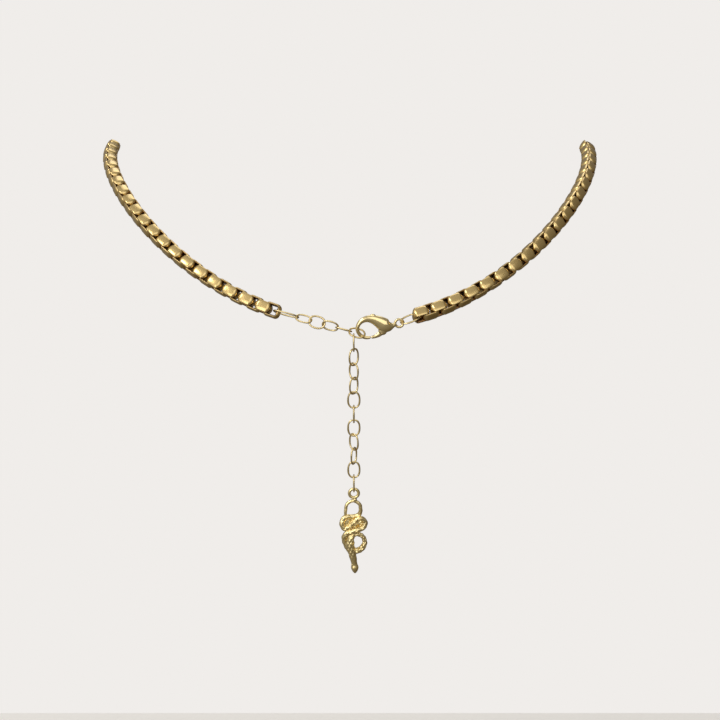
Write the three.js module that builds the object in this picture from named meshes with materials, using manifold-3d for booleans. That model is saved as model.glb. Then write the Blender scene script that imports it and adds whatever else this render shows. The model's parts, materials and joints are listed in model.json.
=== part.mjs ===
// Chain necklace: a heavy round box chain worn close round the neck, closed at the nape by a
// lobster clasp that hooks into an oval-link extender, whose loose end hangs down and carries a
// small cast snake charm.
//
// Frame: millimetres, +Z up. The origin is the centre of the neck opening at the height of the
// nape. -Y is the nape (clasp) side, +Y is the throat side, +X is the clasp's half of the chain.
// "turn" is the angle round the neck, 0 at the nape and growing towards +X.

import * as THREE from 'three';
import { mergeVertices } from 'three/addons/utils/BufferGeometryUtils.js';
import Module from 'manifold-3d';

const wasm = await Module();
wasm.setup();

const DEG = Math.PI / 180;

// ---- driving dimensions, millimetres and degrees ----

// The line that the box chain follows round the neck
const LOOP_RADIUS = 66.5;
const SIDE_RISE = 26.2; // how far the chain climbs at the sides of the neck
const THROAT_RISE = 9.6; // height of the throat above the nape
const CLASP_END_TURN = 14.4; // turn of the last box link on the clasp side
const EXTENDER_END_TURN = 341.85; // turn of the last box link on the extender side

// Box chain: square-sided rings of flat strip, each turned 90 degrees from the one before
const LINK_COUNT = 166;
const LINK_WIDTH = 3.8;
const STRIP_BREADTH = 2.4;
const STRIP_THICKNESS = 0.5;
const LINK_PLAY = 0.32; // free gap between two linked end bars
const RUN_LINKS = 5; // links that move together as one run
const RUNS_PER_SIDE = 16;
const FRONT_LINKS = LINK_COUNT - 2 * RUN_LINKS * RUNS_PER_SIDE;
const BEARING_SIZE = 1.0; // block that bridges the play between the links of one run
const RUN_SWING = 3; // how far one run turns on the next when the loop is spread
// How the chain lies twisted about its own line: turn, and the angle of an even link's outer
// face above the horizontal there
const TWIST = [
  [14, 54],
  [26, 48],
  [43, 31],
  [60, 30],
  [75, 40],
  [90, 56],
  [270, 118],
  [285, 94],
  [305, 70],
  [320, 53],
  [332, 34],
  [342, 28],
];

// Extender: oval links of round wire, five in the closed loop and eleven hanging
const OVAL_WIRE = 0.5;
const OVAL_WIDTH = 3.5;
const END_RING_WIDTH = 4.4;
const LEFT_RING_LENGTH = 6.95;
const LEFT_RING_ROLL = -65;
const RIGHT_RING_LENGTH = 5.75;
const DROP_PITCH = 3.79;
const OVAL_PLAY = 0.2; // free gap between two linked oval ends
const DROP_LENGTH = DROP_PITCH + 2 * OVAL_WIRE + OVAL_PLAY;
const NAPE_LENGTH = 4.65;
const NAPE_SWING = 15; // how far a link in the closed loop rolls on its neighbour
const DROP_SWING = 30; // how far a hanging link swings on the one above
const FIRST_DROP_SWING = 22;
// Roll of each oval link about its own length: 0 shows its open face at the nape
const NAPE_ROLLS = [68, 18, -27, -72, 57];
// Centre of the fifth link, which the clasp's hook goes through
const HOOKED_LINK = new THREE.Vector3(0.45, -65.9, -2.5);
const DROP_ROLLS = [90, 40, -47, 47, 0, 90, 0, -47, 63, 0, 90];

// Clasp: a 12 mm lobster clasp, laid out on its own flat plane. x runs from the hook (0) to the
// tail, y is up. Each row is x, y, radius of the round bow from its tip to its tail.
const HOOK_POINT = new THREE.Vector3(0.6, -65.95, -1.65);
const EYE_POINT = new THREE.Vector3(11.08, -65.3, -0.2);
const BOW = [
  [2.7, -2.44, 0.38],
  [1.38, -2.2, 0.46],
  [0.41, -1.38, 0.48],
  [-0.05, -0.05, 0.45],
  [0.39, 1.19, 0.53],
  [1.42, 2.13, 0.66],
  [2.86, 2.4, 0.84],
  [4.32, 2.0, 1.15],
  [5.69, 1.1, 1.55],
  [6.8, 0.12, 1.88],
  [7.87, -0.38, 1.45],
  [8.8, -0.36, 0.7],
  [9.55, -0.15, 0.4],
];
const BOW_FLATNESS = 0.75;
const EYE_CENTRE = [EYE_POINT.distanceTo(HOOK_POINT), 0];
const EYE_RADIUS = 1.03;
const EYE_WIRE = 0.32;
const CHEEK_CENTRE = [6.2, -1.25];
const CHEEK_RADIUS = 1.25;
const NUB_CENTRE = [4.3, 3.1];
const NUB_RADIUS = 0.4;
const PIVOT = [5.9, -1.75];
const PIN_RADIUS = 0.22;
const PIN_LENGTH = 1.7;
const PIN_CLEARANCE = 0.1;
const SLOT = { left: 4.7, right: 7.2, bottom: -3.4, top: -0.35, width: 1.1 };
const LEVER = [
  [3.02, -2.5, 0.36],
  [3.9, -2.48, 0.42],
  [5.0, -2.2, 0.5],
  [5.9, -1.75, 0.55],
  [6.4, -1.42, 0.34],
];
const LEVER_FLATNESS = 0.7;
const LEVER_OPEN = 28; // how far the lever turns into the hook's opening
const SPRING = [
  [6.25, -0.62, 0.09],
  [6.55, -0.5, 0.09],
  [6.9, -0.62, 0.09],
  [7.0, -0.95, 0.09],
];
const CLASP_SWING = [-8, 15];

// Where the end rings pull on the end links: distance inside the link, and slide along its bar
const LEFT_RING_INSET = 1.02;
const RIGHT_RING_INSET = 1.15;
const CLASP_RING_ROLL = 80;
const CLASP_RING_SLIDE = 0;
const CLASP_RING_SWING = [-7.5, 15];
const HANG_SLIDE = -0.5; // where the loose end hangs along the hooked link's lower side

// Charm, measured from the centre of its bail: x across, z up
const BAIL_RADIUS = 1.2;
const BAIL_WIRE = 0.4;
const CHARM_SWING = 30;
const TAIL_LOOP = { x: -0.23, z: -3.88, radius: 1.91, wire: 0.47 };
// Solder-like necks that join the bail, the tail loop and the knot: x, z, radius
const NECKS = [
  [0, -1.45, 0.43],
  [-0.31, -6.37, 0.72],
];
// The knot is two loops of the body side by side, each tipped about its own upright
const KNOT_LOOPS = [
  { x: -1.78, z: -7.71, tip: 24 },
  { x: 1.5, z: -7.76, tip: -24 },
];
const KNOT_RADIUS = 1.35;
const KNOT_WIRE = 0.7;
const BODY_COIL = { x: 1.07, z: -13.35, radius: 1.81, wire: 0.64 };
const SNAKE_BODY = [
  [0.62, -10.56, 0.72],
  [-1.24, -10.35, 0.93],
  [-2.02, -12.01, 0.98],
  [-1.66, -14.08, 1.03],
  [-0.93, -16.15, 0.98],
  [-0.31, -18.11, 0.98],
  [-0.1, -19.35, 0.88],
  [0.02, -20.18, 0.95],
  [0.08, -21.01, 1.05],
  [0.12, -21.94, 0.62],
  [0.14, -22.67, 0.16],
];

// Surface colour of each kind of piece
const METAL = {
  chain: 0xc9a85a,
  clasp: 0xd8b862,
  extender: 0xcdb06a,
  charm: 0xd6b25c,
  steel: 0x9a968c,
};

// ---- solids ----

function toManifold(geometry) {
  const bare = geometry.clone();
  bare.deleteAttribute('normal');
  bare.deleteAttribute('uv');
  const merged = mergeVertices(bare, 1e-5);
  const mesh = new wasm.Mesh({
    numProp: 3,
    vertProperties: new Float32Array(merged.attributes.position.array),
    triVerts: new Uint32Array(merged.index.array),
  });
  return new wasm.Manifold(mesh);
}

function toGeometry(manifold) {
  const mesh = manifold.getMesh();
  const geometry = new THREE.BufferGeometry();
  geometry.setAttribute('position', new THREE.BufferAttribute(new Float32Array(mesh.vertProperties), 3));
  geometry.setIndex(new THREE.BufferAttribute(new Uint32Array(mesh.triVerts), 1));
  geometry.computeVertexNormals();
  return geometry;
}

function joined(geometries) {
  return geometries.map(toManifold).reduce((whole, piece) => whole.add(piece));
}

// A round bar of changing radius through [x, z, radius] rows, lying in the local XZ plane and
// squeezed along Y by flatness, with a closed cap at each end.
function taperedBar(rows, steps, sides, flatness) {
  const spine = new THREE.CatmullRomCurve3(rows.map(([x, z]) => new THREE.Vector3(x, 0, z)));
  const radii = new THREE.CatmullRomCurve3(rows.map((row, i) => new THREE.Vector3(i, row[2], 0)));
  const across = new THREE.Vector3(0, 1, 0);
  const vertices = [];
  for (let i = 0; i <= steps; i += 1) {
    const centre = spine.getPoint(i / steps);
    const radius = radii.getPoint(i / steps).y;
    const inPlane = new THREE.Vector3().crossVectors(across, spine.getTangent(i / steps));
    for (let k = 0; k < sides; k += 1) {
      const angle = (2 * Math.PI * (k + 0.5)) / sides;
      const point = centre.clone().addScaledVector(inPlane, radius * Math.cos(angle));
      point.addScaledVector(across, radius * flatness * Math.sin(angle));
      vertices.push(point.x, point.y, point.z);
    }
  }
  const first = vertices.length / 3;
  for (const end of [spine.getPoint(0), spine.getPoint(1)]) {
    vertices.push(end.x, end.y, end.z);
  }
  const faces = [];
  for (let k = 0; k < sides; k += 1) {
    const next = (k + 1) % sides;
    for (let i = 0; i < steps; i += 1) {
      const a = i * sides;
      const b = a + sides;
      faces.push(a + k, a + next, b + next, a + k, b + next, b + k);
    }
    faces.push(first, next, k);
    faces.push(first + 1, steps * sides + k, steps * sides + next);
  }
  const geometry = new THREE.BufferGeometry();
  geometry.setAttribute('position', new THREE.Float32BufferAttribute(vertices, 3));
  geometry.setIndex(faces);
  return geometry;
}

// A ring of round wire whose two ends are half circles: length along X, width along Y.
function ovalRing(length, width) {
  const segments = 12;
  const ring = new THREE.TorusGeometry((width - OVAL_WIRE) / 2, OVAL_WIRE / 2, 5, segments);
  ring.rotateZ(Math.PI / segments);
  const stretch = (length - width) / 2;
  const position = ring.attributes.position;
  for (let i = 0; i < position.count; i += 1) {
    position.setX(i, position.getX(i) + stretch * Math.sign(position.getX(i)));
  }
  ring.deleteAttribute('normal');
  ring.deleteAttribute('uv');
  const closed = mergeVertices(ring, 1e-5);
  closed.computeVertexNormals();
  return closed;
}

function placed(geometry, xAxis, yAxis, origin) {
  const zAxis = new THREE.Vector3().crossVectors(xAxis, yAxis);
  const place = new THREE.Matrix4().makeBasis(xAxis, yAxis, zAxis).setPosition(origin);
  return geometry.clone().applyMatrix4(place);
}

// ---- the assembly, and where each piece turns on the one that carries it ----

const necklace = new THREE.Group();
necklace.name = 'chain_necklace';

function addPiece(name, geometry, colour, roughness, body, hinge) {
  const material = new THREE.MeshStandardMaterial({ color: colour, metalness: 1, roughness });
  const mesh = new THREE.Mesh(geometry, material);
  mesh.name = name;
  mesh.userData = { body, hinge };
  necklace.add(mesh);
  return mesh;
}

function hingeAt(parent, point, axis, range) {
  return { parent, point: point.toArray(), axis: axis.clone().normalize().toArray(), range };
}

function swingOf(degrees) {
  return [-degrees, degrees];
}

const UP = new THREE.Vector3(0, 0, 1);
const OUT = new THREE.Vector3(0, -1, 0);

// The chain's line, from the clasp end round the throat to the extender end.
class NeckLine extends THREE.Curve {
  getPoint(t, target = new THREE.Vector3()) {
    const turn = this.turnAt(t);
    const rise = SIDE_RISE * Math.sin(turn) ** 2 + (THROAT_RISE * (1 - Math.cos(turn))) / 2;
    return target.set(LOOP_RADIUS * Math.sin(turn), -LOOP_RADIUS * Math.cos(turn), rise);
  }

  turnAt(t) {
    return (CLASP_END_TURN + (EXTENDER_END_TURN - CLASP_END_TURN) * t) * DEG;
  }
}

const neckLine = new NeckLine();
neckLine.arcLengthDivisions = 2000;
const LINK_PITCH = neckLine.getLength() / (LINK_COUNT - 1);
const LINK_LENGTH = LINK_PITCH + 2 * STRIP_THICKNESS + LINK_PLAY;

const TWIST_TURNS = TWIST.map(([turn]) => turn * DEG);
const TWIST_ROLLS = TWIST.map(([, roll]) => roll);
const twistLine = new THREE.LinearInterpolant(TWIST_TURNS, TWIST_ROLLS, 1);

function twistAt(turn) {
  return twistLine.evaluate(turn)[0];
}

// The chain's own axes at a link, or halfway to the next one: along, face (out of an even link's
// domed side) and hole (through it).
function chainFrame(index) {
  const t = neckLine.getUtoTmapping(index / (LINK_COUNT - 1));
  const centre = neckLine.getPoint(t);
  const along = neckLine.getTangent(t);
  const turn = neckLine.turnAt(t);
  const outward = new THREE.Vector3(centre.x, centre.y, 0).normalize();
  outward.addScaledVector(along, -outward.dot(along)).normalize();
  const above = new THREE.Vector3().crossVectors(outward, along);
  const roll = twistAt(turn) * DEG;
  const face = outward.clone().multiplyScalar(Math.cos(roll)).addScaledVector(above, Math.sin(roll));
  const hole = new THREE.Vector3().crossVectors(along, face);
  return { centre, along, face, hole };
}

function boxLink() {
  const outline = new THREE.Shape();
  const halfLength = LINK_LENGTH / 2;
  const halfWidth = LINK_WIDTH / 2;
  outline.moveTo(-halfLength, -halfWidth);
  outline.lineTo(halfLength, -halfWidth);
  outline.lineTo(halfLength, halfWidth);
  outline.lineTo(-halfLength, halfWidth);
  const opening = new THREE.Path();
  const innerLength = halfLength - STRIP_THICKNESS;
  const innerWidth = halfWidth - STRIP_THICKNESS;
  opening.moveTo(-innerLength, -innerWidth);
  opening.lineTo(-innerLength, innerWidth);
  opening.lineTo(innerLength, innerWidth);
  opening.lineTo(innerLength, -innerWidth);
  outline.holes.push(opening);
  const link = new THREE.ExtrudeGeometry(outline, { depth: STRIP_BREADTH, bevelEnabled: false });
  return link.translate(0, 0, -STRIP_BREADTH / 2);
}

const BOX_LINK = boxLink();
const BEARING = new THREE.BoxGeometry(LINK_PLAY + STRIP_THICKNESS, BEARING_SIZE, BEARING_SIZE);

function chainRun(first, count) {
  const pieces = [];
  for (let index = first; index < first + count; index += 1) {
    const { centre, along, face, hole } = chainFrame(index);
    const width = index % 2 === 0 ? face : hole;
    pieces.push(placed(BOX_LINK, along, width, centre));
    if (index > first) {
      const joint = chainFrame(index - 0.5);
      pieces.push(placed(BEARING, joint.along, joint.face, joint.centre));
    }
  }
  return toGeometry(joined(pieces));
}

function addSideRun(name, first, parent, jointIndex) {
  const hinge = hingeAt(parent, chainFrame(jointIndex).centre, UP, swingOf(RUN_SWING));
  addPiece(name, chainRun(first, RUN_LINKS), METAL.chain, 0.28, name, hinge);
}

function sideRunName(side, number) {
  return `chain_${side}_run_${String(number).padStart(2, '0')}`;
}

const FIRST_FRONT_LINK = RUN_LINKS * RUNS_PER_SIDE;
const FRONT_RUN = 'chain_front_run';
addPiece(FRONT_RUN, chainRun(FIRST_FRONT_LINK, FRONT_LINKS), METAL.chain, 0.28, FRONT_RUN, null);
for (let number = 1; number <= RUNS_PER_SIDE; number += 1) {
  const rightFirst = FIRST_FRONT_LINK - RUN_LINKS * number;
  const leftFirst = FIRST_FRONT_LINK + FRONT_LINKS + RUN_LINKS * (number - 1);
  const rightParent = number === 1 ? FRONT_RUN : sideRunName('right', number - 1);
  const leftParent = number === 1 ? FRONT_RUN : sideRunName('left', number - 1);
  const rightJoint = rightFirst + RUN_LINKS - 0.5;
  addSideRun(sideRunName('right', number), rightFirst, rightParent, rightJoint);
  addSideRun(sideRunName('left', number), leftFirst, leftParent, leftFirst - 0.5);
}

// ---- nape: end ring and extender links on a straight line from the chain to the hook ----

// An axis across a line, rolled from level outward towards up.
function acrossLine(line, rollDegrees) {
  const outward = OUT.clone().addScaledVector(line, -OUT.dot(line)).normalize();
  const above = new THREE.Vector3().crossVectors(outward, line);
  if (above.z < 0) {
    above.negate();
  }
  const roll = rollDegrees * DEG;
  return outward.multiplyScalar(Math.cos(roll)).addScaledVector(above, Math.sin(roll));
}

// The middle of an end link's opening where an end ring's wire passes, just inside its end bar.
function ringSeat(index, towardsNape, inset, slide) {
  const { centre, along, face, hole } = chainFrame(index);
  const bar = index % 2 === 0 ? face : hole;
  const reach = LINK_LENGTH / 2 - STRIP_THICKNESS - inset;
  return centre.clone().addScaledVector(along, towardsNape * reach).addScaledVector(bar, slide);
}

const extenderSeat = ringSeat(LINK_COUNT - 1, 1, LEFT_RING_INSET, 0);
const claspSeat = ringSeat(0, -1, RIGHT_RING_INSET, CLASP_RING_SLIDE);

// Roll is the direction of the ring's flat normal; its width lies across that normal.
function addOval(name, ring, centre, line, roll, hinge) {
  const normal = acrossLine(line, roll);
  const width = new THREE.Vector3().crossVectors(normal, line);
  addPiece(name, placed(ring, line, width, centre), METAL.extender, 0.25, name, hinge);
}

const NAPE_LINK = ovalRing(NAPE_LENGTH, OVAL_WIDTH);
const DROP_LINK = ovalRing(DROP_LENGTH, OVAL_WIDTH);
const LEFT_RING = ovalRing(LEFT_RING_LENGTH, END_RING_WIDTH);
const RIGHT_RING = ovalRing(RIGHT_RING_LENGTH, END_RING_WIDTH);
const napeLine = HOOKED_LINK.clone().sub(extenderSeat).normalize();
const leftRingCore = LEFT_RING_LENGTH - OVAL_WIRE;
const leftRingCentre = extenderSeat.clone().addScaledVector(napeLine, leftRingCore / 2);
const lastLeftRun = sideRunName('left', RUNS_PER_SIDE);
const leftRingHinge = hingeAt(lastLeftRun, extenderSeat, napeLine, swingOf(NAPE_SWING));
addOval('left_end_ring', LEFT_RING, leftRingCentre, napeLine, LEFT_RING_ROLL, leftRingHinge);

const napeCore = NAPE_LENGTH - OVAL_WIRE;
const firstOvalReach = leftRingCore - OVAL_WIRE - OVAL_PLAY + napeCore / 2;
const napeReach = HOOKED_LINK.distanceTo(extenderSeat) - firstOvalReach;
const NAPE_PITCH = napeReach / (NAPE_ROLLS.length - 1);

function napeLinkCentre(number) {
  return extenderSeat.clone().addScaledVector(napeLine, firstOvalReach + NAPE_PITCH * (number - 1));
}

function ovalName(number) {
  return `extender_link_${String(number).padStart(2, '0')}`;
}

NAPE_ROLLS.forEach((roll, i) => {
  const centre = napeLinkCentre(i + 1);
  const point = centre.clone().addScaledVector(napeLine, -NAPE_PITCH / 2);
  const parent = i === 0 ? 'left_end_ring' : ovalName(i);
  const axis = napeLine.clone().multiplyScalar(i % 2 === 0 ? -1 : 1);
  const hinge = hingeAt(parent, point, axis, swingOf(NAPE_SWING));
  addOval(ovalName(i + 1), NAPE_LINK, centre, napeLine, roll, hinge);
});

// ---- the hanging end of the extender ----

const hookedCentre = napeLinkCentre(NAPE_ROLLS.length);
const hookedNormal = acrossLine(napeLine, NAPE_ROLLS[NAPE_ROLLS.length - 1]);
const lowerSide = new THREE.Vector3().crossVectors(hookedNormal, napeLine);
if (lowerSide.z > 0) {
  lowerSide.negate();
}
const hangPoint = hookedCentre.clone().addScaledVector(napeLine, HANG_SLIDE);
hangPoint.addScaledVector(lowerSide, (OVAL_WIDTH - OVAL_WIRE) / 2);
hangPoint.z += (OVAL_WIRE + OVAL_PLAY) / 2;

const DOWN = UP.clone().negate();
const ACROSS_X = new THREE.Vector3(1, 0, 0);
const ACROSS_Y = new THREE.Vector3(0, 1, 0);

// Alternate joints swing forwards and sideways, each pair opposite to the pair before.
function dropAxis(i) {
  const axis = (i % 2 === 0 ? ACROSS_X : ACROSS_Y).clone();
  return i % 4 < 2 ? axis : axis.negate();
}

function dropJoint(i) {
  return hangPoint.clone().addScaledVector(DOWN, DROP_PITCH * i);
}

DROP_ROLLS.forEach((roll, i) => {
  const number = NAPE_ROLLS.length + 1 + i;
  const centre = dropJoint(i + 0.5);
  const swing = i === 0 ? FIRST_DROP_SWING : DROP_SWING;
  const hinge = hingeAt(ovalName(number - 1), dropJoint(i), dropAxis(i), swingOf(swing));
  const normal = new THREE.Vector3(Math.sin(roll * DEG), -Math.cos(roll * DEG), 0);
  const width = new THREE.Vector3().crossVectors(normal, DOWN);
  const link = placed(DROP_LINK, DOWN, width, centre);
  addPiece(ovalName(number), link, METAL.extender, 0.25, ovalName(number), hinge);
});

// ---- snake charm: bail, tail loop, knot of two loops, body round a coil, and head ----

function flatRing(radius, wire, x, z, segments) {
  const ring = new THREE.TorusGeometry(radius, wire, 6, segments);
  return ring.rotateX(Math.PI / 2).translate(x, 0, z);
}

function knotLoop({ x, z, tip }) {
  const loop = flatRing(KNOT_RADIUS, KNOT_WIRE, 0, 0, 12);
  return loop.rotateZ(tip * DEG).translate(x, 0, z);
}

function snakeCharm() {
  const bail = flatRing(BAIL_RADIUS, BAIL_WIRE, 0, 0, 14);
  const necks = NECKS.map(([x, z, radius]) => new THREE.SphereGeometry(radius, 6, 5).translate(x, 0, z));
  const tail = flatRing(TAIL_LOOP.radius, TAIL_LOOP.wire, TAIL_LOOP.x, TAIL_LOOP.z, 14);
  const knot = KNOT_LOOPS.map(knotLoop);
  const coil = flatRing(BODY_COIL.radius, BODY_COIL.wire, BODY_COIL.x, BODY_COIL.z, 12);
  const body = taperedBar(SNAKE_BODY, 20, 8, 0.85);
  return toGeometry(joined([bail, tail, ...necks, ...knot, coil, body]));
}

const charmJoint = dropJoint(DROP_ROLLS.length);
const bailDrop = BAIL_RADIUS - (OVAL_WIRE + OVAL_PLAY) / 2;
const bailCentre = charmJoint.clone().addScaledVector(DOWN, bailDrop);
const lastOval = ovalName(NAPE_ROLLS.length + DROP_ROLLS.length);
const charmAxis = dropAxis(DROP_ROLLS.length);
const charmHinge = hingeAt(lastOval, charmJoint, charmAxis, swingOf(CHARM_SWING));
const charm = snakeCharm().translate(bailCentre.x, bailCentre.y, bailCentre.z);
addPiece('snake_charm', charm, METAL.charm, 0.35, 'snake_charm', charmHinge);

// ---- clasp side: end ring, clasp body, lever, pivot pin and spring ----

const ringLine = claspSeat.clone().sub(EYE_POINT).normalize();
const rightRingReach = (RIGHT_RING_LENGTH - OVAL_WIRE) / 2;
const rightRingCentre = claspSeat.clone().addScaledVector(ringLine, -rightRingReach);
const lastRightRun = sideRunName('right', RUNS_PER_SIDE);
const rightRingHinge = hingeAt(lastRightRun, claspSeat, ringLine, CLASP_RING_SWING);
addOval('right_end_ring', RIGHT_RING, rightRingCentre, ringLine, CLASP_RING_ROLL, rightRingHinge);

// Clasp plane: local X along the clasp line, local Z up in the plane, local Y towards the neck.
const claspLine = EYE_POINT.clone().sub(HOOK_POINT).normalize();
const claspUp = UP.clone().addScaledVector(claspLine, -UP.dot(claspLine)).normalize();
const claspIn = new THREE.Vector3().crossVectors(claspUp, claspLine);

function onClasp(geometry) {
  return placed(geometry, claspLine, claspIn, HOOK_POINT);
}

function claspPoint([x, y]) {
  return HOOK_POINT.clone().addScaledVector(claspLine, x).addScaledVector(claspUp, y);
}

function pivotCylinder(radius, length) {
  return new THREE.CylinderGeometry(radius, radius, length, 10).translate(PIVOT[0], 0, PIVOT[1]);
}

function pivotBore() {
  return pivotCylinder(PIN_RADIUS + PIN_CLEARANCE, 2 * CHEEK_RADIUS);
}

function claspBody() {
  const bow = taperedBar(BOW, 24, 8, BOW_FLATNESS);
  const eye = flatRing(EYE_RADIUS, EYE_WIRE, EYE_CENTRE[0], EYE_CENTRE[1], 12);
  const cheek = new THREE.SphereGeometry(CHEEK_RADIUS, 10, 8).scale(1, BOW_FLATNESS, 1);
  cheek.translate(CHEEK_CENTRE[0], 0, CHEEK_CENTRE[1]);
  const nub = new THREE.SphereGeometry(NUB_RADIUS, 6, 5).translate(NUB_CENTRE[0], 0, NUB_CENTRE[1]);
  const slot = new THREE.BoxGeometry(SLOT.right - SLOT.left, SLOT.width, SLOT.top - SLOT.bottom);
  slot.translate((SLOT.left + SLOT.right) / 2, 0, (SLOT.top + SLOT.bottom) / 2);
  const whole = joined([bow, eye, cheek, nub]);
  return toGeometry(whole.subtract(toManifold(slot)).subtract(toManifold(pivotBore())));
}

function claspLever() {
  const arm = toManifold(taperedBar(LEVER, 10, 8, LEVER_FLATNESS));
  return toGeometry(arm.subtract(toManifold(pivotBore())));
}

const claspHinge = hingeAt('right_end_ring', EYE_POINT, claspLine, CLASP_SWING);
const leverHinge = hingeAt('clasp_body', claspPoint(PIVOT), claspIn, [0, LEVER_OPEN]);
const pin = onClasp(pivotCylinder(PIN_RADIUS, PIN_LENGTH));
const spring = onClasp(taperedBar(SPRING, 8, 6, 1));
addPiece('clasp_body', onClasp(claspBody()), METAL.clasp, 0.15, 'clasp_body', claspHinge);
addPiece('clasp_lever', onClasp(claspLever()), METAL.clasp, 0.15, 'clasp_lever', leverHinge);
addPiece('clasp_pivot_pin', pin, METAL.clasp, 0.3, 'clasp_body', null);
addPiece('clasp_spring', spring, METAL.steel, 0.4, 'clasp_body', null);

export default necklace;
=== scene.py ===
"""Chain necklace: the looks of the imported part.

Every box link, oval link, the clasp and the snake charm are built here as fine meshes on the CAD
bodies. Local sizes are in millimetres and are turned into metres when a mesh is made.
"""

import json
import math

import bpy
import numpy as np
from mathutils import Matrix, Vector


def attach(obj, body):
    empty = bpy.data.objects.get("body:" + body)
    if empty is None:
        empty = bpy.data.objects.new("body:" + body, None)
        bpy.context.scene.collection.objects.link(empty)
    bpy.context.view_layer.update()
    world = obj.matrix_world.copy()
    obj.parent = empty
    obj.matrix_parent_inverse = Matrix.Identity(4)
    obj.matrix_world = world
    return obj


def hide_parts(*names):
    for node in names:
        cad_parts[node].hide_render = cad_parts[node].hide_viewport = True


MM = 0.001

# ---- the chain's line round the neck, the same driving dimensions as the CAD ----
LOOP_RADIUS = 66.5
SIDE_RISE = 26.2
THROAT_RISE = 9.6
CLASP_END_TURN = math.radians(14.4)
EXTENDER_END_TURN = math.radians(341.85)
LINK_COUNT = 166
RUN_LINKS = 5
RUNS_PER_SIDE = 16
FRONT_LINKS = LINK_COUNT - 2 * RUN_LINKS * RUNS_PER_SIDE
# turn, and the angle of an even link's outer face above the horizontal there, in degrees
TWIST = [
    (14, 54),
    (26, 48),
    (43, 31),
    (60, 30),
    (75, 40),
    (90, 56),
    (270, 118),
    (285, 94),
    (305, 70),
    (320, 53),
    (332, 34),
    (342, 28),
]

# ---- box link: a strip with a crowned outer face, bent into a ring with round corners ----
# the CAD's strip thickness and play set how long a link is
CAD_STRIP = 0.5
CAD_PLAY = 0.32
LINK_WIDTH = 3.8
STRIP_THICKNESS = 0.65
# walls are the long sides that show as domes, bars the short sides that the next link pulls on
WALL_CROWN = 0.26
BAR_CROWN = 0.5
WALL_BREADTH = 2.8
BAR_BREADTH = 2.1
# the bars swell outwards and are thicker, so that neighbouring domes nearly meet
BAR_BULGE = 0.38
BAR_DEEPER = 0.3
CORNER_RADIUS = 1.15
CORNER_STEPS = 10
CORNER_BLEND = 1.5
WALL_BULGE = 0.12
# the strip's section: shares of half its breadth, and depths below the crown
CROWN_SHARE = 0.93
CROWN_POINTS = 9
CROWN_POWER = 2.3
INNER_SHARE = 0.86
INNER_BELLY = 0.02
EDGE_TOP = 0.08
EDGE_BOTTOM = 0.18

# ---- oval links ----
OVAL_WIRE = 0.47
DROP_LENGTH = 4.75
NAPE_LENGTH = 4.42
OVAL_WIDTH = 3.4
LEFT_RING_LENGTH = 6.85
RIGHT_RING_LENGTH = 5.65
RING_WIDTH = 4.3
OVAL_COUNT = 16
NAPE_OVALS = 5
OVAL_STATIONS = 48
OVAL_SIDES = 10
# an oval between an ellipse and a rectangle: 2 would be an ellipse
OVAL_SQUARENESS = 2.35
# how uneven a link is: its shape, how far it leaves its plane in mm, the hammering, the flattening
OVAL_LOPSIDED = 0.03
OVAL_WARP = 0.05
OVAL_HAMMER = 0.06
OVAL_HAMMER_WAVES = 5
OVAL_FLAT = 0.92
LEFT_RING_SEED = 21
RIGHT_RING_SEED = 22

# ---- clasp, on its own plane: x from the hook to the tail, z up; bars add two radii ----
EYE_CENTRE = (10.6, 0.0)
EYE_RADIUS = 1.03
EYE_WIRE = 0.32
BOW = [
    (3.0, -2.5, 0.34, 0.3),
    (2.2, -2.48, 0.42, 0.36),
    (1.3, -2.17, 0.46, 0.4),
    (0.4, -1.36, 0.47, 0.42),
    (-0.04, -0.05, 0.45, 0.44),
    (0.38, 1.2, 0.52, 0.48),
    (1.42, 2.13, 0.66, 0.56),
    (2.86, 2.4, 0.86, 0.68),
    (4.32, 2.0, 1.18, 0.88),
    (5.69, 1.1, 1.55, 1.14),
    (6.78, 0.12, 1.85, 1.32),
    (7.85, -0.36, 1.42, 1.18),
    (8.8, -0.34, 0.74, 0.74),
    (9.55, -0.15, 0.36, 0.42),
]
# a ball that thickens the bulb round the pivot: x, z, radius
CHEEK = (6.2, -1.25, 1.25)
CHEEK_FLAT = 0.75
NUB = [(3.7, 3.05, 0.3), (4.3, 3.1, 0.4), (4.9, 2.85, 0.3)]
SLOT = {"left": 4.75, "right": 7.2, "bottom": -3.6, "top": -0.4, "width": 1.0}
PIVOT = (5.9, -1.75)
LEVER = [
    (3.12, -2.52, 0.3, 0.24),
    (3.45, -2.53, 0.4, 0.3),
    (4.0, -2.5, 0.44, 0.34),
    (4.7, -2.3, 0.56, 0.38),
    (5.3, -2.05, 0.64, 0.4),
    (5.9, -1.75, 0.58, 0.4),
    (6.4, -1.42, 0.34, 0.34),
]
PIN_RADIUS = 0.24
PIN_LENGTH = 2.0
# the rivet's profile: shares of half its length, and of its radius
PIN_PROFILE = [
    (-1, 0.35),
    (-0.96, 0.75),
    (-0.88, 0.98),
    (-0.8, 1.0),
    (0.8, 1.0),
    (0.88, 0.98),
    (0.96, 0.75),
    (1, 0.35),
]
PIN_SIDES = 24
# how much painted shade darkens the rivet, all over
PIN_SHADE = 0.6
# how far the end stations of a bar draw in
CAP_DRAW = 0.55
CLASP_VOXEL = 0.07
CLASP_SMOOTHING = 6
LEVER_SMOOTHING = 2
SOFTEN = 0.5

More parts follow.
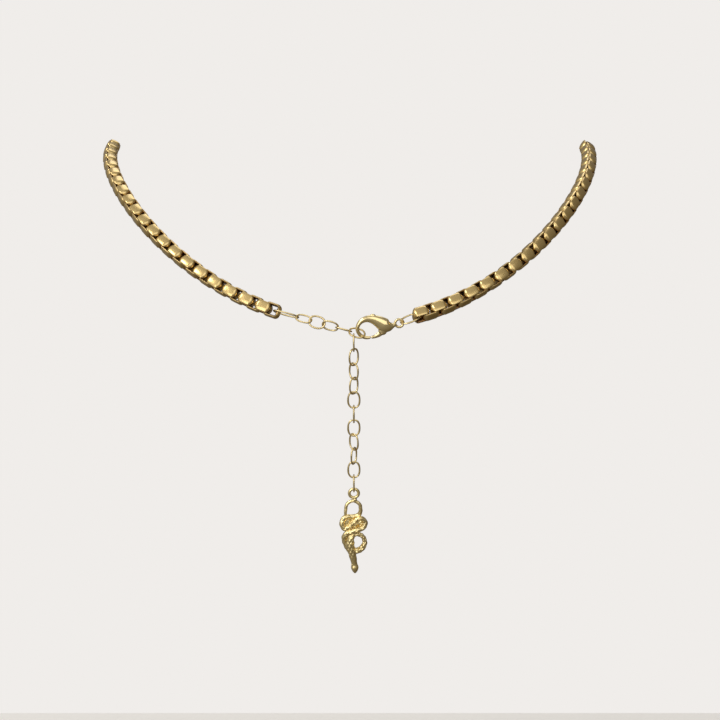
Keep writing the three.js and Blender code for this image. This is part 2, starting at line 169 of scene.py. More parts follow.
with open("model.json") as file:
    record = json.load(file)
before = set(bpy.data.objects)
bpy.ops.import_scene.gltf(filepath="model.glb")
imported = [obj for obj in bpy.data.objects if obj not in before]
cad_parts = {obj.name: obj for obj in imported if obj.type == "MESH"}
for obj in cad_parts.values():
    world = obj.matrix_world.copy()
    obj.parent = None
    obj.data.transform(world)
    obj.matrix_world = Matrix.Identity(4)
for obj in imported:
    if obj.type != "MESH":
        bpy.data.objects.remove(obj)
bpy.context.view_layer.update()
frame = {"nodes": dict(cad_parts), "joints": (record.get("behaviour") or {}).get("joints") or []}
joints = {joint["name"]: joint for joint in frame["joints"]}


# ---- mesh making ----


def unit(vectors):
    """Each row of an array at length one."""
    vectors = np.asarray(vectors, float)
    return vectors / np.linalg.norm(vectors, axis=-1, keepdims=True)


def lengths_along(points):
    """How far along a polyline each of its points lies."""
    steps = np.linalg.norm(np.diff(points, axis=0), axis=1)
    return np.concatenate([[0], np.cumsum(steps)])


def through(rows, count):
    """Points on the Catmull-Rom curve through the rows, any number of columns."""
    rows = np.array(rows, float)
    padded = np.vstack([2 * rows[0] - rows[1], rows, 2 * rows[-1] - rows[-2]])
    spans = len(rows) - 1
    out = []
    for u in np.linspace(0, spans, count):
        i = min(int(u), spans - 1)
        f = u - i
        a, b, c, d = padded[i : i + 4]
        square = (2 * a - 5 * b + 4 * c - d) * f**2
        cube = (3 * b - a - 3 * c + d) * f**3
        out.append(0.5 * (2 * b + (c - a) * f + square + cube))
    return np.array(out)


def loft(rings, closed):
    """One closed skin over rings of points: joined end to end, or capped with a fan."""
    rings = np.asarray(rings, float)
    count, sides, _ = rings.shape
    vertices = rings.reshape(-1, 3)
    faces = []
    for i in range(count if closed else count - 1):
        j = (i + 1) % count
        for k in range(sides):
            n = (k + 1) % sides
            faces.append((i * sides + k, i * sides + n, j * sides + n, j * sides + k))
    if not closed:
        ends = [rings[0].mean(0), rings[-1].mean(0)]
        first = len(vertices)
        vertices = np.vstack([vertices, ends])
        last_ring = (count - 1) * sides
        for k in range(sides):
            n = (k + 1) % sides
            faces.append((first, n, k))
            faces.append((first + 1, last_ring + k, last_ring + n))
    return vertices, faces


def merged(parts):
    """Several (vertices, faces) as one."""
    vertices, faces, start = [], [], 0
    for part_vertices, part_faces in parts:
        vertices.append(part_vertices)
        faces += [tuple(v + start for v in face) for face in part_faces]
        start += len(part_vertices)
    return np.vstack(vertices), faces


def new_mesh(name, vertices, faces):
    """A mesh of the points and faces, still in millimetres."""
    mesh = bpy.data.meshes.new(name)
    mesh.from_pydata([tuple(v) for v in vertices], [], faces)
    mesh.validate()
    return mesh


def new_piece(name, mesh, place, material, body, nodes):
    """A shown piece: its mesh in millimetres goes to its place and rides on a CAD body."""
    mesh.transform(place)
    mesh.transform(Matrix.Scale(MM, 4))
    mesh.shade_smooth()
    mesh.materials.clear()
    mesh.materials.append(material)
    piece = bpy.data.objects.new(name, mesh)
    bpy.context.scene.collection.objects.link(piece)
    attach(piece, body)
    if nodes:
        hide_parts(*nodes)
    return piece


def with_modifiers(mesh, steps):
    """The mesh after a list of (modifier type, settings)."""
    holder = bpy.data.objects.new("holder", mesh)
    bpy.context.scene.collection.objects.link(holder)
    for kind, settings in steps:
        modifier = holder.modifiers.new(kind.lower(), kind)
        for key, value in settings.items():
            setattr(modifier, key, value)
    graph = bpy.context.evaluated_depsgraph_get()
    made = bpy.data.meshes.new_from_object(holder.evaluated_get(graph))
    bpy.data.objects.remove(holder)
    return made


def paint_shade(mesh, values):
    """How deep in a hollow each vertex lies, from 0 to 1, for the material to darken with painted
    shade.
    """
    attribute = mesh.attributes.new("shade_paint", "FLOAT", "POINT")
    attribute.data.foreach_set("value", np.asarray(values, np.float32))


def basis(x_axis, y_axis, z_axis, origin):
    """The matrix that takes the axes and the origin to these."""
    columns = [Vector(x_axis), Vector(y_axis), Vector(z_axis)]
    place = Matrix.Identity(4)
    for i, column in enumerate(columns):
        for row in range(3):
            place[row][i] = column[row]
    place.translation = Vector(origin)
    return place


# ---- materials ----

LACQUER_WEIGHT = 0.55
LACQUER_ROUGHNESS = 0.12
# the dark brown of the painted shade in hollows and on inner faces
PAINTED_SHADE = (0.15, 0.062, 0.01, 1)
WEAR_FINENESS = 7
GLOSS_SPREAD = (0.7, 1.35)
DENT_DEPTH = 0.00005
# inputs of the colour Mix node, which are told apart by their place
COLOUR_A, COLOUR_B = 6, 7
COLOUR_RESULT = 2


def plated(name, bright, dark, roughness, grain, bump):
    """Plated metal: cloudy tone, fine wear in the gloss, small dents, painted shade in the recesses.
    """
    material = bpy.data.materials.new(name)
    material.use_nodes = True
    tree = material.node_tree
    tree.nodes.clear()

    def node(kind, **values):
        made = tree.nodes.new(kind)
        for key, value in values.items():
            if hasattr(made, key):
                setattr(made, key, value)
            else:
                made.inputs[key.replace("_", " ")].default_value = value
        return made

    def join(source, output, target, socket):
        tree.links.new(source.outputs[output], target.inputs[socket])

    output = node("ShaderNodeOutputMaterial")
    shader = node("ShaderNodeBsdfPrincipled", Metallic=1.0)
    shader.inputs["Coat Weight"].default_value = LACQUER_WEIGHT
    shader.inputs["Coat Roughness"].default_value = LACQUER_ROUGHNESS
    coordinates = node("ShaderNodeTexCoord")
    cloud = node("ShaderNodeTexNoise", Scale=grain, Detail=3.0)
    wear = node("ShaderNodeTexNoise", Scale=grain * WEAR_FINENESS, Detail=4.0)
    tone = node("ShaderNodeMix", data_type="RGBA")
    tone.inputs[COLOUR_A].default_value = (*dark, 1)
    tone.inputs[COLOUR_B].default_value = (*bright, 1)
    shade_paint = node("ShaderNodeAttribute", attribute_name="shade_paint")
    # painted shade: the per-vertex shade value mixes the dark brown into the tone where the surface
    # lies in hollows
    shaded_tone = node("ShaderNodeMix", data_type="RGBA")
    shaded_tone.inputs[COLOUR_B].default_value = PAINTED_SHADE
    gloss = node("ShaderNodeMapRange")
    gloss.inputs["To Min"].default_value = roughness * GLOSS_SPREAD[0]
    gloss.inputs["To Max"].default_value = roughness * GLOSS_SPREAD[1]
    dents = node("ShaderNodeBump", Strength=bump, Distance=DENT_DEPTH)

    for texture in (cloud, wear):
        join(coordinates, "Object", texture, "Vector")
    join(cloud, "Fac", tone, 0)
    join(shade_paint, "Fac", shaded_tone, 0)
    join(tone, COLOUR_RESULT, shaded_tone, COLOUR_A)
    join(shaded_tone, COLOUR_RESULT, shader, "Base Color")
    join(wear, "Fac", gloss, "Value")
    join(gloss, "Result", shader, "Roughness")
    join(wear, "Fac", dents, "Height")
    join(dents, "Normal", shader, "Normal")
    join(shader, "BSDF", output, "Surface")
    return material


CHAIN_GOLD = plated("chain_gold", (0.74, 0.55, 0.24), (0.62, 0.44, 0.17), 0.27, 900, 0.35)
CLASP_GOLD = plated("clasp_gold", (0.88, 0.72, 0.38), (0.82, 0.65, 0.32), 0.17, 500, 0.1)
WIRE_GOLD = plated("wire_gold", (0.84, 0.68, 0.36), (0.72, 0.56, 0.26), 0.24, 1200, 0.4)
CHARM_GOLD = plated("charm_gold", (0.92, 0.76, 0.4), (0.8, 0.62, 0.27), 0.26, 1400, 0.5)
SPRING_STEEL = plated("spring_steel", (0.62, 0.61, 0.58), (0.52, 0.51, 0.48), 0.3, 1500, 0.3)


# ---- box chain ----


def neck_point(turn):
    """The chain's line at a turn from the nape: a circle from above that climbs at the sides."""
    rise = SIDE_RISE * np.sin(turn) ** 2 + THROAT_RISE * (1 - np.cos(turn)) / 2
    return np.array([LOOP_RADIUS * np.sin(turn), -LOOP_RADIUS * np.cos(turn), rise])


LINE_STEPS = 4000
line_turns = np.linspace(CLASP_END_TURN, EXTENDER_END_TURN, LINE_STEPS + 1)
line_points = neck_point(line_turns).T
line_reach = lengths_along(line_points)
LINK_PITCH = line_reach[-1] / (LINK_COUNT - 1)
LINK_LENGTH = LINK_PITCH + 2 * CAD_STRIP + CAD_PLAY
TANGENT_STEP = 1e-3


def chain_place(index):
    """Where a link lies: x along the chain, y across its two domed walls."""
    turn = float(np.interp(index * LINK_PITCH, line_reach, line_turns))
    centre = neck_point(turn)
    along = unit(neck_point(turn + TANGENT_STEP) - neck_point(turn - TANGENT_STEP))
    outward = unit([centre[0], centre[1], 0])
    outward = unit(outward - outward @ along * along)
    above = np.cross(outward, along)
    roll = math.radians(np.interp(math.degrees(turn), *zip(*TWIST)))
    face = outward * math.cos(roll) + above * math.sin(roll)
    hole = np.cross(along, face)
    if index % 2 == 0:
        return basis(along, face, hole, centre)
    return basis(along, hole, -face, centre)


def strip_section(breadth, crown, thickness):
    """Section of the strip: (across, outward) from its crest, crowned outside, narrower inside."""
    half = breadth / 2
    shares = np.linspace(-CROWN_SHARE, CROWN_SHARE, CROWN_POINTS)
    outer = [(s, -crown * abs(s) ** CROWN_POWER) for s in shares]
    edge, lip = crown + EDGE_TOP, crown + EDGE_BOTTOM
    inner = [
        (INNER_SHARE, -thickness),
        (0, -thickness - INNER_BELLY),
        (-INNER_SHARE, -thickness),
    ]
    rows = outer + [(1, -edge), (1, -lip)] + inner + [(-1, -lip), (-1, -edge)]
    return [(s * half, h) for s, h in rows]


# painted shade at each point of the section, by how recessed it is: none on the bright crown, some on
# the edges, full on the inner face
SECTION_SHADE = [0.0] * CROWN_POINTS + [0.25, 0.6] + [1.0] * 3 + [0.6, 0.25]


def box_link():
    """One link, and how deep in its inside each vertex is, which sets its painted shade."""
    half_length, half_width = LINK_LENGTH / 2 + BAR_BULGE, LINK_WIDTH / 2
    straight_x = half_length - CORNER_RADIUS
    straight_y = half_width - CORNER_RADIUS
    rings, shade_paint = [], []
    corners = [(1, 1, 0), (-1, 1, 90), (-1, -1, 180), (1, -1, 270)]
    for sign_x, sign_y, start in corners:
        corner = np.array([sign_x * straight_x, sign_y * straight_y])
        for step in np.linspace(0, 1, CORNER_STEPS):
            angle = math.radians(start + 90 * step)
            outward = np.array([math.cos(angle), math.sin(angle)])
            # 0 where the strip is a bar, 1 where it is a wall
            wall = abs(outward[1]) ** CORNER_BLEND
            breadth = BAR_BREADTH + (WALL_BREADTH - BAR_BREADTH) * wall
            crown = BAR_CROWN + (WALL_CROWN - BAR_CROWN) * wall
            crest = corner + outward * CORNER_RADIUS
            thickness = STRIP_THICKNESS + BAR_DEEPER * (1 - wall)
            section = strip_section(breadth, crown, thickness)
            ring = [(*(crest + outward * h), s) for s, h in section]
            rings.append(ring)
            shade_paint += SECTION_SHADE
    vertices, faces = loft(rings, True)
    # the walls swell a little between the corners, as a hammered strip does
    swell = WALL_BULGE * (1 - (vertices[:, 0] / half_length) ** 2)
    vertices[:, 1] -= np.sign(vertices[:, 1]) * (WALL_BULGE - swell)
    return vertices, faces, shade_paint


LINK_VERTICES, LINK_FACES, LINK_SHADE = box_link()


def add_run(node, first, count):
    """The links of one run, each a closed ring of its own, as one piece."""
    parts = []
    for index in range(first, first + count):
        place = np.array(chain_place(index))
        moved = LINK_VERTICES @ place[:3, :3].T + place[:3, 3]
        parts.append((moved, LINK_FACES))
    mesh = new_mesh(node + "_links", *merged(parts))
    # painted shade on the links' edges and inner faces
    paint_shade(mesh, LINK_SHADE * count)
    new_piece(node + "_links", mesh, Matrix.Identity(4), CHAIN_GOLD, node, [node])


FIRST_FRONT = RUN_LINKS * RUNS_PER_SIDE
add_run("chain_front_run", FIRST_FRONT, FRONT_LINKS)
for number in range(1, RUNS_PER_SIDE + 1):
    add_run(f"chain_right_run_{number:02d}", FIRST_FRONT - RUN_LINKS * number, RUN_LINKS)
    left_first = FIRST_FRONT + FRONT_LINKS + RUN_LINKS * (number - 1)
    add_run(f"chain_left_run_{number:02d}", left_first, RUN_LINKS)


# ---- oval links, each on the axes of its own CAD node ----


def node_place(node):
    """Centre of a flat ring node, x along its length, y across its width."""
    points = np.array([v.co for v in frame["nodes"][node].data.vertices]) / MM
    centre = points.mean(0)
    _, vectors = np.linalg.eigh(np.cov((points - centre).T))
    length, width = vectors[:, 2], vectors[:, 1]
    return basis(length, width, np.cross(length, width), centre)


def oval_link(length, width, wire, seed):
    """A hand-closed oval of drawn wire, lightly flattened and never quite even."""
    random = np.random.default_rng(seed)
    lopsided, warp, warp_start, hammer_start = random.uniform(-1, 1, 4)
    rings = []
    reach_x, reach_y = (length - wire) / 2, (width - wire) / 2
    power = 2 / OVAL_SQUARENESS
    upright = np.array([0, 0, 1])
    for i in range(OVAL_STATIONS):
        angle = 2 * math.pi * i / OVAL_STATIONS
        c, s = math.cos(angle), math.sin(angle)
        narrowing = 1 - OVAL_LOPSIDED * lopsided * c
        centre = np.array([
            reach_x * math.copysign(abs(c) ** power, c),
            reach_y * math.copysign(abs(s) ** power, s) * narrowing,
            OVAL_WARP * warp * math.sin(angle + warp_start),
        ])
        outward = unit([c / reach_x, s / reach_y, 0])
        hammering = math.sin(OVAL_HAMMER_WAVES * angle + 3 * hammer_start)
        radius = wire / 2 * (1 + OVAL_HAMMER * hammering)
        turn = 2 * math.pi * np.arange(OVAL_SIDES) / OVAL_SIDES
        ring = [
            centre + radius * (math.cos(t) * outward + OVAL_FLAT * math.sin(t) * upright)
            for t in turn
        ]
        rings.append(ring)
    return loft(rings, True)


def add_oval(node, length, width, seed):
    """An oval link or ring in the place of its CAD node."""
    name = node + "_wire"
    mesh = new_mesh(name, *oval_link(length, width, OVAL_WIRE, seed))
    new_piece(name, mesh, node_place(node), WIRE_GOLD, node, [node])


for number in range(1, OVAL_COUNT + 1):
    link_length = NAPE_LENGTH if number <= NAPE_OVALS else DROP_LENGTH
    add_oval(f"extender_link_{number:02d}", link_length, OVAL_WIDTH, number)
add_oval("left_end_ring", LEFT_RING_LENGTH, RING_WIDTH, LEFT_RING_SEED)
add_oval("right_end_ring", RIGHT_RING_LENGTH, RING_WIDTH, RIGHT_RING_SEED)


# ---- clasp ----

clasp_line = Vector(joints["clasp_roll"]["axis"])
clasp_in = Vector(joints["lever_press"]["axis"])
clasp_up = clasp_line.cross(clasp_in)
eye_point = Vector(joints["clasp_roll"]["pos_m"]) / MM
clasp_origin = eye_point - EYE_CENTRE[0] * clasp_line - EYE_CENTRE[1] * clasp_up
CLASP_PLACE = basis(clasp_line, clasp_in, clasp_up, clasp_origin)


def plane_bar(rows, count, sides):
    """A bar of oval section through (x, z, radius in the plane, radius across it) rows."""
    path = through(rows, count)
    centres = np.stack([path[:, 0], np.zeros(count), path[:, 1]], 1)
    tangents = unit(np.gradient(centres, axis=0))
    inward = np.cross([0, 1, 0], tangents)
    turn = 2 * math.pi * np.arange(sides) / sides
    rings = [
        [c + r * math.cos(t) * n + np.array([0, w * math.sin(t), 0]) for t in turn]
        for c, n, r, w in zip(centres, inward, path[:, 2], path[:, 3])
    ]
    # the end stations draw in to a rounded cap
    for end in (0, -1):
        rings[end] = [centres[end] + (np.array(p) - centres[end]) * CAP_DRAW for p in rings[end]]
    return loft(rings, False)


def ring_in_plane(x, z, radius, wire):
    """A round ring lying in the plane."""
    rings = []
    stations, sides = 48, 16
    for i in range(stations):
        a = 2 * math.pi * i / stations
        ring = []
        for k in range(sides):
            b = 2 * math.pi * k / sides
            reach = radius + wire * math.cos(b)
            ring.append((x + reach * math.cos(a), wire * math.sin(b), z + reach * math.sin(a)))
        rings.append(ring)
    return loft(rings, True)


def ball(x, y, z, radius, flat=1.0):
    """A round blank to be fused into a casting, flattened across the plane if asked."""
    rings = []
    levels, sides, last_latitude = 12, 20, 80
    for latitude in np.linspace(-last_latitude, last_latitude, levels):
        level = math.radians(latitude)
        ring = []
        for k in range(sides):
            a = 2 * math.pi * k / sides
            reach = radius * math.cos(level)
            ring.append((
                x + reach * math.cos(a),
                y + flat * reach * math.sin(a),
                z + radius * math.sin(level),
            ))
        rings.append(ring)
    return loft(rings, False)


def cast(parts, voxel, smoothing):
    """The parts fused and softened into one casting."""
    mesh = new_mesh("cast", *merged(parts))
    return with_modifiers(mesh, [
        ("REMESH", {"mode": "VOXEL", "voxel_size": voxel}),
        ("SMOOTH", {"factor": SOFTEN, "iterations": smoothing}),
    ])


def hollowness(mesh, reach):
    """How far each vertex lies below its surroundings, out to reach edges, in millimetres."""
    count = len(mesh.vertices)
    points = np.zeros(count * 3)
    mesh.vertices.foreach_get("co", points)
    points = points.reshape(-1, 3)
    edges = np.zeros(len(mesh.edges) * 2, int)
    mesh.edges.foreach_get("vertices", edges)
    a, b = edges.reshape(-1, 2).T
    degree = np.bincount(np.concatenate([a, b]), minlength=count)[:, None]
    soft = points.copy()
    for _ in range(reach):
        total = np.zeros_like(soft)
        np.add.at(total, a, soft[b])
        np.add.at(total, b, soft[a])
        soft = 0.5 * (soft + total / degree)
    normals = np.array([v.normal for v in mesh.vertices])
    return np.einsum("ij,ij->i", soft - points, normals)


nub = plane_bar([(x, z, r, r) for x, z, r in NUB], count=12, sides=12)
eye = ring_in_plane(*EYE_CENTRE, EYE_RADIUS, EYE_WIRE)
cheek = ball(CHEEK[0], 0, CHEEK[1], CHEEK[2], CHEEK_FLAT)
bow = plane_bar(BOW, count=120, sides=32)
clasp_mesh = cast([bow, eye, cheek, nub], CLASP_VOXEL, CLASP_SMOOTHING)

# the slot for the lever, cut up into the bulb
slot_side = SLOT["width"] / 2
slot_outline = [
    (-slot_side, SLOT["bottom"]),
    (slot_side, SLOT["bottom"]),
    (slot_side, SLOT["top"]),
    (-slot_side, SLOT["top"]),
]
slot_ends = [[(x, y, z) for y, z in slot_outline] for x in (SLOT["left"], SLOT["right"])]
slot_box = new_mesh("slot_box", *loft(slot_ends, False))
cutter = bpy.data.objects.new("slot_cutter", slot_box)
bpy.context.scene.collection.objects.link(cutter)
clasp_mesh = with_modifiers(clasp_mesh, [
    ("BOOLEAN", {"object": cutter, "operation": "DIFFERENCE", "solver": "EXACT"}),
])
bpy.data.objects.remove(cutter)

lever_bar = plane_bar(LEVER, count=60, sides=24)
lever_mesh = with_modifiers(new_mesh("lever", *lever_bar), [
    ("SMOOTH", {"factor": SOFTEN, "iterations": LEVER_SMOOTHING}),
])


def rivet():
    """A pin with domed heads along the plane's normal."""
    rings = []
    for share, radius_share in PIN_PROFILE:
        radius = PIN_RADIUS * radius_share
        ring = []
        for k in range(PIN_SIDES):
            a = -2 * math.pi * k / PIN_SIDES
            ring.append((
                PIVOT[0] + radius * math.cos(a),
                share * PIN_LENGTH / 2,
                PIVOT[1] + radius * math.sin(a),
            ))
        rings.append(ring)
    return loft(rings, False)


def add_clasp_piece(name, mesh, body, node):
    """A piece on the clasp's plane, shown in place of its CAD node."""
    new_piece(name, mesh, CLASP_PLACE, CLASP_GOLD, body, [node])


pin_mesh = new_mesh("pin", *rivet())
# the rivet is darkened all over with the painted shade colour, at this share
paint_shade(pin_mesh, [PIN_SHADE] * len(pin_mesh.vertices))
add_clasp_piece("clasp_casting", clasp_mesh, "clasp_body", "clasp_body")
add_clasp_piece("clasp_gate", lever_mesh, "clasp_lever", "clasp_lever")
add_clasp_piece("clasp_rivet", pin_mesh, "clasp_body", "clasp_pivot_pin")

# the spring's CAD shape stays, with a better material
frame["nodes"]["clasp_spring"].data.materials.clear()
frame["nodes"]["clasp_spring"].data.materials.append(SPRING_STEEL)


# ---- snake charm: one body from its tail loop through the knot and the coil to its head ----

# x across, y towards the neck, z up, and the body's radius, from the centre of the bail
SNAKE = [
    (-2.2, -0.3, -6.0, 0.36),
    (-2.15, -0.15, -4.6, 0.42),
    (-1.75, 0.0, -2.95, 0.43),
    (-0.25, 0.0, -2.1, 0.43),
    (1.35, 0.0, -2.95, 0.46),
    (1.72, 0.1, -4.6, 0.5),
    (1.3, 0.35, -6.1, 0.58),
    (-0.2, 0.5, -6.7, 0.62),
    (-2.2, 0.25, -6.75, 0.66),
    (-3.1, 0.0, -8.2, 0.7),
    (-2.4, -0.15, -9.8, 0.7),
    (-0.9, -0.5, -8.9, 0.6),
    (0.3, -0.65, -7.5, 0.56),
    (1.7, -0.45, -6.75, 0.6),
    (2.85, -0.1, -8.0, 0.68),
    (2.4, -0.35, -9.4, 0.68),
    (0.5, -0.7, -10.1, 0.7),
    (-1.6, -0.5, -10.9, 0.72),
    (-2.55, -0.15, -12.2, 0.68),
    (-2.2, 0.15, -14.2, 0.66),
    (-1.0, 0.4, -16.2, 0.7),
    (0.9, 0.3, -16.2, 0.8),
    (2.3, 0.0, -15.1, 0.75),
    (2.8, 0.0, -13.4, 0.6),
    (2.0, -0.1, -11.8, 0.56),
    (0.4, -0.25, -11.3, 0.6),
    (-0.75, -0.45, -12.1, 0.88),
    (-0.95, -0.5, -13.9, 1.05),
    (-0.65, -0.4, -15.9, 1.02),
    (-0.25, -0.25, -17.8, 0.95),
    (0.0, -0.15, -19.2, 0.8),
    (0.12, -0.1, -19.9, 0.78),
    (0.2, -0.05, -20.8, 1.0),
    (0.25, 0.0, -21.8, 0.68),
    (0.28, 0.0, -22.45, 0.22),
]
# thin webs of metal that close the knot from behind: x, y, z, radius
WEBS = [
    (-2.0, 0.2, -8.3, 1.3),
    (1.65, 0.2, -8.3, 1.3),
    (-0.2, 0.2, -9.4, 1.2),
    (-0.5, 0.3, -7.7, 1.2),
]
WEB_FLAT = 0.3
BAIL_RADIUS = 1.2
BAIL_WIRE = 0.39
# the bail's centre below the point where it hangs
BAIL_DROP = 0.85
# the lump of metal that joins the bail to the tail loop
BAIL_FOOT = (0.25, 0, -1.75, 0.52)
EYE_BUMPS = [(-0.47, -0.47, -19.82), (0.52, -0.47, -19.87)]
EYE_BUMP_RADIUS = 0.3
CHARM_VOXEL = 0.08
CHARM_SMOOTHING = 3
# hollows, which get painted shade: how many edges out the surroundings reach, the depth in mm that
# gives full painted shade, and how much of that painted shade shallow ones are spared
HOLLOW_REACH = 16
HOLLOW_SHADE_DEPTH = 0.16
HOLLOW_SHADE_SPARED = 0.1
SCALE_PITCH = 0.8
SCALE_DEPTH = 0.19
SCALES_HALFWAY_ROUND = 5
# how deep the scales are at shares of the way from the tail loop to the head
SCALE_SHARES = [0, 0.2, 0.5, 0.78, 0.9, 0.93, 1]
SCALE_STRENGTHS = [0.1, 0.4, 0.6, 1, 0.9, 0.1, 0]
# no scales on the bail, which lies above this height
BAIL_BOTTOM = -1.4
NEAREST_BLOCK = 4000


def free_bar(rows, count, sides):
    """A round bar through (x, y, z, radius) rows."""
    path = through(rows, count)
    centres = path[:, :3]
    tangents = unit(np.gradient(centres, axis=0))
    side = np.array([0.0, 1.0, 0.0])
    rings = []
    for centre, tangent, radius in zip(centres, tangents, path[:, 3]):
        side = unit(side - side @ tangent * tangent)
        other = np.cross(tangent, side)
        turn = 2 * math.pi * np.arange(sides) / sides
        rings.append([centre + radius * (math.cos(t) * other + math.sin(t) * side) for t in turn])
    return loft(rings, False)


def scaled_skin(mesh):
    """Presses a lattice of small scales into the skin, in rows along the body."""
    path = through(SNAKE, count=700)
    centres = path[:, :3]
    tangents = unit(np.gradient(centres, axis=0))
    reach = lengths_along(centres)
    points = np.array([v.co for v in mesh.vertices])
    normals = np.array([v.normal for v in mesh.vertices])
    nearest = np.empty(len(points), int)
    for start in range(0, len(points), NEAREST_BLOCK):
        block = points[start : start + NEAREST_BLOCK]
        gap = np.linalg.norm(block[:, None] - centres[None], axis=2) - path[None, :, 3]
        nearest[start : start + NEAREST_BLOCK] = gap.argmin(1)
    spoke = points - centres[nearest]
    side = unit(np.cross(tangents[nearest], [0, 1, 0]))
    front = np.cross(side, tangents[nearest])
    around = np.arctan2((spoke * front).sum(1), (spoke * side).sum(1))
    lengthwise = reach[nearest] / SCALE_PITCH
    sideways = around * SCALES_HALFWAY_ROUND / math.pi
    one_way = np.sin(math.pi * (lengthwise + sideways) / 2)
    other_way = np.sin(math.pi * (lengthwise - sideways) / 2)
    lattice = np.abs(one_way * other_way)
    strength = np.interp(reach[nearest] / reach[-1], SCALE_SHARES, SCALE_STRENGTHS)
    strength[points[:, 2] > BAIL_BOTTOM] = 0
    points += normals * (SCALE_DEPTH * strength * (lattice - 0.5))[:, None]
    mesh.vertices.foreach_set("co", points.ravel())
    mesh.update()


snake = free_bar(SNAKE, count=420, sides=24)
bail = ring_in_plane(0, 0, BAIL_RADIUS, BAIL_WIRE)
bail_foot = ball(*BAIL_FOOT)
webs = [ball(x, y, z, radius, WEB_FLAT) for x, y, z, radius in WEBS]
eyes = [ball(x, y, z, EYE_BUMP_RADIUS) for x, y, z in EYE_BUMPS]
charm_mesh = cast([snake, bail, bail_foot, *webs, *eyes], CHARM_VOXEL, CHARM_SMOOTHING)
# the hollows are measured before the scales, so that painted shade goes only into the knot's pits
hollow_shade = hollowness(charm_mesh, HOLLOW_REACH) / HOLLOW_SHADE_DEPTH - HOLLOW_SHADE_SPARED
paint_shade(charm_mesh, np.clip(hollow_shade, 0, 1))
scaled_skin(charm_mesh)
charm_point = Vector(joints["charm_swing"]["pos_m"]) / MM - Vector((0, 0, BAIL_DROP))
new_piece(
    "snake_casting",
    charm_mesh,
    Matrix.Translation(charm_point),
    CHARM_GOLD,
    "snake_charm",
    ["snake_charm"],
)


# ---- stage: floor, light and camera, in metres ----

BACKDROP = (0.871, 0.847, 0.823, 1)
FLOOR_HALF = 3
FLOOR_LEVEL = -0.12
ROOM_BRIGHT_SIDE = (-0.6, -0.35, 0.72)
ROOM_STRENGTH = 0.72
# the room's colour by how far a direction turns to the bright side: position, colour
ROOM_DARK = (0.0, (0.16, 0.13, 0.08, 1))
ROOM_MIDDLE = (0.62, (0.42, 0.4, 0.36, 1))
ROOM_BRIGHT = (1.0, (1.0, 0.98, 0.94, 1))
NAPE = (0, -0.0665, 0)
CHARM_MIDDLE = (0, -0.0665, -0.056)


def add_floor():
    """The pale floor below the charm."""
    signs = [(-1, -1), (1, -1), (1, 1), (-1, 1)]
    corners = [(x * FLOOR_HALF, y * FLOOR_HALF, FLOOR_LEVEL) for x, y in signs]
    mesh = bpy.data.meshes.new("floor")
    mesh.from_pydata(corners, [], [(0, 1, 2, 3)])
    material = bpy.data.materials.new("floor_paper")
    material.use_nodes = True
    shader = material.node_tree.nodes["Principled BSDF"]
    shader.inputs["Base Color"].default_value = BACKDROP
    shader.inputs["Roughness"].default_value = 0.9
    mesh.materials.append(material)
    floor = bpy.data.objects.new("floor", mesh)
    bpy.context.scene.collection.objects.link(floor)
    # polished metal would show the near floor as a bright underside; soft light from it stays
    floor.visible_glossy = False


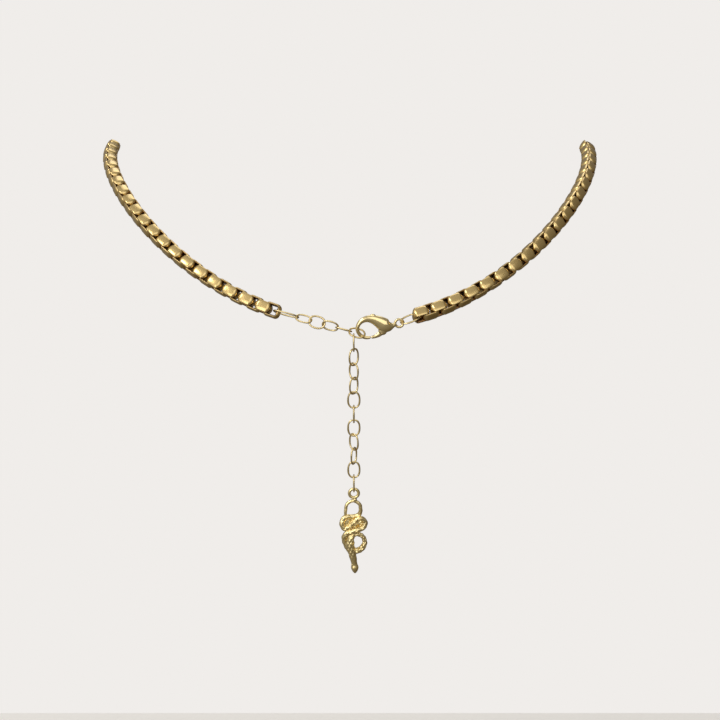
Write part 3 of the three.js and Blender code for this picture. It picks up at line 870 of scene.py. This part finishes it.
def add_world():
    """A pale backdrop for the camera; for light and reflections a room, bright up and to the left."""
    world = bpy.data.worlds.new("studio")
    bpy.context.scene.world = world
    world.use_nodes = True
    tree = world.node_tree
    tree.nodes.clear()
    output = tree.nodes.new("ShaderNodeOutputWorld")
    room = tree.nodes.new("ShaderNodeBackground")
    backdrop = tree.nodes.new("ShaderNodeBackground")
    backdrop.inputs["Color"].default_value = BACKDROP
    room.inputs["Strength"].default_value = ROOM_STRENGTH
    coordinates = tree.nodes.new("ShaderNodeTexCoord")
    facing = tree.nodes.new("ShaderNodeVectorMath")
    facing.operation = "DOT_PRODUCT"
    facing.inputs[1].default_value = ROOM_BRIGHT_SIDE
    ramp = tree.nodes.new("ShaderNodeValToRGB")
    steps = ramp.color_ramp.elements
    steps[0].position, steps[0].color = ROOM_DARK
    steps[1].position, steps[1].color = ROOM_BRIGHT
    steps.new(ROOM_MIDDLE[0]).color = ROOM_MIDDLE[1]
    level = tree.nodes.new("ShaderNodeMapRange")
    level.inputs["From Min"].default_value = -1
    path = tree.nodes.new("ShaderNodeLightPath")
    mix = tree.nodes.new("ShaderNodeMixShader")
    tree.links.new(coordinates.outputs["Generated"], facing.inputs[0])
    tree.links.new(facing.outputs["Value"], level.inputs["Value"])
    tree.links.new(level.outputs["Result"], ramp.inputs["Fac"])
    tree.links.new(ramp.outputs["Color"], room.inputs["Color"])
    tree.links.new(path.outputs["Is Camera Ray"], mix.inputs["Fac"])
    tree.links.new(room.outputs["Background"], mix.inputs[1])
    tree.links.new(backdrop.outputs["Background"], mix.inputs[2])
    tree.links.new(mix.outputs["Shader"], output.inputs["Surface"])


def add_softbox(name, place, size, power, target=NAPE):
    """A square area light in watts, turned to its target."""
    light = bpy.data.lights.new(name, "AREA")
    light.size = size
    light.energy = power
    lamp = bpy.data.objects.new(name, light)
    lamp.location = place
    lamp.rotation_euler = (Vector(target) - Vector(place)).to_track_quat("-Z", "Y").to_euler()
    bpy.context.scene.collection.objects.link(lamp)


add_floor()
add_world()
add_softbox("key", (-0.62, -0.3, 0.66), 0.3, 2.2)
add_softbox("fill", (0.25, -0.8, 0.45), 0.7, 1.6)
add_softbox("back", (0.1, 0.5, 0.6), 0.5, 1.2)
add_softbox("charm_fill", (-0.3, -0.6, 0.1), 0.35, 0.9, CHARM_MIDDLE)

# the camera of the photograph: behind the wearer, looking down at the nape
VIEW_TURN = math.radians(1.42)
VIEW_DOWN = math.radians(18)
VIEW_DISTANCE = 450 * MM
AIM_RIGHT = 2.85 * MM
AIM_UP = -8.975 * MM
LENS = 90
VIEW_START = 50 * MM
# In the photograph the neck hides the front half of the loop. There is no neck here, so the
# camera's reach ends where the chain goes out of sight at the sides of it.
VIEW_REACH = 505.5 * MM


def add_camera():
    """Aims at the nape, moved a little right and up in the picture."""
    right = Vector((math.cos(VIEW_TURN), -math.sin(VIEW_TURN), 0))
    level = Vector((math.sin(VIEW_TURN), math.cos(VIEW_TURN), 0))
    forward = level * math.cos(VIEW_DOWN) - Vector((0, 0, math.sin(VIEW_DOWN)))
    up = right.cross(forward)
    nape = level * -LOOP_RADIUS * MM
    place = nape + right * AIM_RIGHT + up * AIM_UP - forward * VIEW_DISTANCE
    data = bpy.data.cameras.new("camera")
    data.lens = LENS
    data.clip_start = VIEW_START
    data.clip_end = VIEW_REACH
    camera = bpy.data.objects.new("camera", data)
    camera.matrix_world = basis(right, up, -forward, place)
    bpy.context.scene.collection.objects.link(camera)
    bpy.context.scene.camera = camera


add_camera()
bpy.context.scene.view_settings.view_transform = "Standard"
